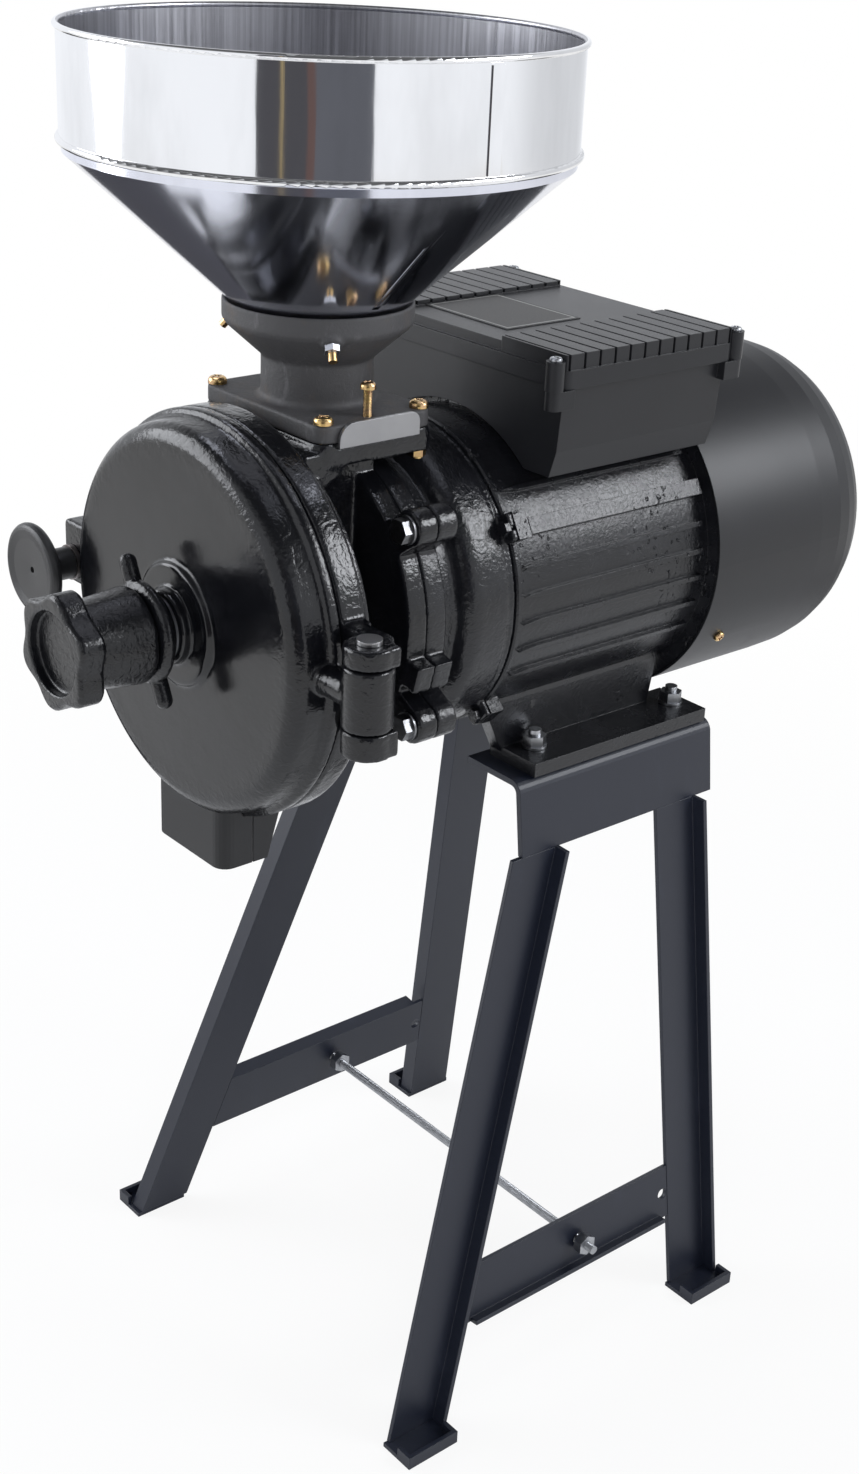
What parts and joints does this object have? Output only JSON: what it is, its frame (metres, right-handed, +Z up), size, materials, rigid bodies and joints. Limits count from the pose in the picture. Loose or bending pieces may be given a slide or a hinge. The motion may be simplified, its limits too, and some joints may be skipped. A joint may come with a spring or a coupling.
{
  "type": "electric grain mill",
  "caption": "Electric disc mill for grain on a bolted steel stand, with a round sheet hopper, a hinged front cover with an adjusting screw, and a flange motor with a capacitor box.",
  "frame": {"origin": "centre of the bounding box at the floor", "axes": "+Z up; the shaft runs along Y with the cover at -Y and the fan cowl at +Y; the cover hinges at +X"},
  "size_m": [0.342, 0.585, 0.8476],
  "materials": {
    "hopper_sheet": "mirror polished stainless sheet",
    "gate_steel": "satin",
    "gold_zinc": "yellow zinc plated steel",
    "zinc": "bright zinc plated steel",
    "casting_black": "gloss enamel over a cast skin",
    "neck_iron": "dull cast iron",
    "burr_iron": "ground iron",
    "dark_steel": "oiled steel",
    "bearing_steel": "polished",
    "motor_black": "satin paint over a cast skin",
    "cowl_black": "satin powder coat on pressed sheet",
    "box_plastic": "fine texture",
    "knob_plastic": "gloss",
    "fan_plastic": "matte",
    "seal_rubber": "matte",
    "core_steel": "stacked sheet",
    "copper": "varnished winding wire",
    "capacitor_grey": "gloss",
    "terminal_cream": "gloss",
    "rocker_red": "gloss",
    "stand_black": "satin powder coat",
    "shield_iron": "as cast"
  },
  "bodies": {
    "frame": {"hopper_band": "hopper_sheet", "hopper_cone": "hopper_sheet", "hopper_screws": "gold_zinc", "feed_neck": "neck_iron", "neck_screws": "gold_zinc", "mill_body": "casting_black", "hinge_pin": "dark_steel", "fixed_burr": "burr_iron", "fixed_burr_screws": "zinc", "rear_chute": "casting_black", "shaft_seal": "seal_rubber", "flange_bolts": "zinc", "bearing_outer_rings": "bearing_steel", "front_shield": "motor_black", "motor_housing": "motor_black", "rear_shield": "shield_iron", "shield_screws": "zinc", "stator_core": "core_steel", "stator_coils": "copper", "fan_cowl": "cowl_black", "cowl_screws": "gold_zinc", "terminal_box": "box_plastic", "box_lid": "box_plastic", "lid_screws": "zinc", "capacitors": "capacitor_grey", "terminal_block": "terminal_cream", "cable_gland": "box_plastic", "switch_body": "box_plastic", "top_brackets": "stand_black", "front_legs": "stand_black", "rear_legs": "stand_black", "crossbars": "stand_black", "stand_feet": "stand_black", "tie_rod": "zinc", "foot_bolts": "zinc"},
    "cover": {"front_cover": "casting_black", "front_chute": "casting_black"},
    "adjuster_slide": {"thrust_ball": "bearing_steel"},
    "adjuster": {"adjusting_screw": "dark_steel", "star_knob": "knob_plastic"},
    "lock_slide": {"lock_washer": "zinc"},
    "lock_nut": {"wing_nut": "casting_black"},
    "latch_slide": {"latch_ring": "zinc"},
    "latch": {"latch_knob": "knob_plastic", "latch_screw": "zinc"},
    "rotor": {"motor_shaft": "dark_steel", "rotor_core": "core_steel", "cooling_fan": "fan_plastic", "bearing_inner_rings": "bearing_steel", "bearing_balls": "bearing_steel", "feed_auger": "dark_steel", "drive_pin": "bearing_steel", "return_spring": "bearing_steel"},
    "burr": {"burr_holder": "neck_iron", "rotating_burr": "burr_iron", "rotating_burr_screws": "zinc"},
    "gate": {"feed_gate": "gate_steel"},
    "gate_clamp": {"gate_clamp_screw": "gold_zinc"},
    "rocker": {"switch_rocker": "rocker_red"}
  },
  "joints": [
    {"name": "cover_hinge", "type": "hinge", "parent": "frame", "child": "cover", "pos_m": [0.145, -0.1885, 0.53], "axis": [0, 0, 1], "range_deg": [0, 110]},
    {"name": "adjust_travel", "type": "slide", "parent": "cover", "child": "adjuster_slide", "axis": [0, -1, 0], "range_m": [0, 0.004]},
    {"name": "adjust_turn", "type": "hinge", "parent": "adjuster_slide", "child": "adjuster", "pos_m": [0, -0.25, 0.53], "axis": [0, -1, 0], "range_deg": [0, 576]},
    {"name": "lock_travel", "type": "slide", "parent": "cover", "child": "lock_slide", "axis": [0, -1, 0], "range_m": [0, 0.0015]},
    {"name": "lock_turn", "type": "hinge", "parent": "lock_slide", "child": "lock_nut", "pos_m": [0, -0.232, 0.53], "axis": [0, -1, 0], "range_deg": [0, 216]},
    {"name": "latch_travel", "type": "slide", "parent": "cover", "child": "latch_slide", "axis": [0, -1, 0], "range_m": [0, 0.01]},
    {"name": "latch_turn", "type": "hinge", "parent": "latch_slide", "child": "latch", "pos_m": [-0.136, -0.21, 0.524], "axis": [0, -1, 0], "range_deg": [0, 2400]},
    {"name": "shaft_turn", "type": "hinge", "parent": "frame", "child": "rotor", "pos_m": [0, 0, 0.53], "axis": [0, 1, 0], "continuous": true},
    {"name": "burr_travel", "type": "slide", "parent": "rotor", "child": "burr", "axis": [0, -1, 0], "range_m": [0, 0.004]},
    {"name": "gate_travel", "type": "slide", "parent": "frame", "child": "gate", "axis": [1, 0, 0], "range_m": [0, 0.055]},
    {"name": "clamp_travel", "type": "slide", "parent": "frame", "child": "gate_clamp", "axis": [0, 0, 1], "range_m": [0, 0.003]},
    {"name": "rocker_turn", "type": "hinge", "parent": "frame", "child": "rocker", "pos_m": [-0.1026, 0.0785, 0.645], "axis": [0, -1, 0], "range_deg": [0, 18]}
  ],
  "couplings": [
    {"joint": "adjust_turn", "follows": "adjust_travel", "rad_per_m": 2513.3},
    {"joint": "lock_turn", "follows": "lock_travel", "rad_per_m": 2513.3},
    {"joint": "latch_turn", "follows": "latch_travel", "rad_per_m": 4188.8},
    {"joint": "burr_travel", "follows": "adjust_travel", "ratio": 1}
  ]
}
